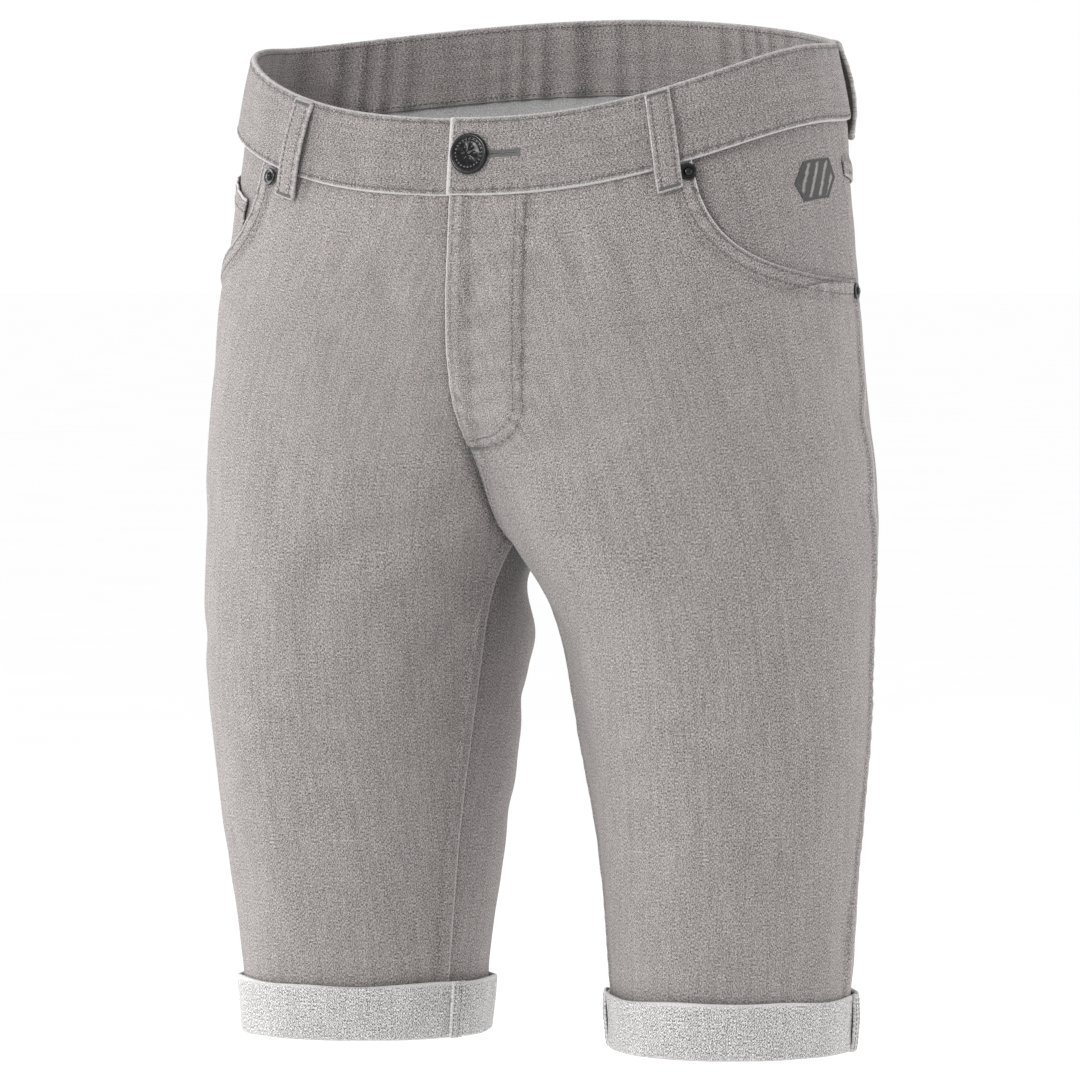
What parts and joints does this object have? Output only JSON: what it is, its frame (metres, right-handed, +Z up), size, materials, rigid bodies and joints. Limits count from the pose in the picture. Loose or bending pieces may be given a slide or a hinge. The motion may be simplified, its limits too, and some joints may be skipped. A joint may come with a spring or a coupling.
{
  "type": "denim shorts",
  "caption": "Five-pocket denim shorts as worn, with a buttoned waistband, belt loops, curved front pockets and turned-up hems",
  "frame": {"origin": "the middle of the waist opening, level with the middle of the waistband at the sides, where the wearer's waist holds the shorts", "axes": "+Z up, the front of the shorts faces -Y, +X is the wearer's left"},
  "size_m": [0.3832, 0.2335, 0.5585],
  "materials": {
    "denim": "washed warm grey denim, outer face of the twill",
    "denim_wrong_side": "pale wrong side of the twill, with bound seam edges",
    "gunmetal": "gunmetal button and rivets, semi-gloss",
    "badge_print": "dark grey heat-pressed print, matt"
  },
  "bodies": {
    "root": {"waistband": "denim", "front_left": "denim", "front_right": "denim", "back_left": "denim", "back_right": "denim", "yoke_left": "denim", "yoke_right": "denim", "pocket_facing_left": "denim", "pocket_facing_right": "denim", "coin_pocket": "denim", "back_pocket_left": "denim", "back_pocket_right": "denim", "belt_loop_front_left": "denim", "belt_loop_front_right": "denim", "belt_loop_side_left": "denim", "belt_loop_side_right": "denim", "belt_loop_back": "denim", "cuff_left": "denim_wrong_side", "cuff_right": "denim_wrong_side", "cuff_inseam_left": "denim_wrong_side", "cuff_inseam_right": "denim_wrong_side", "cuff_sideseam_left": "denim_wrong_side", "cuff_sideseam_right": "denim_wrong_side", "button": "gunmetal", "rivet_top_left": "gunmetal", "rivet_top_right": "gunmetal", "rivet_side_left": "gunmetal", "rivet_side_right": "gunmetal", "pocket_badge": "badge_print"}
  },
  "joints": []
}
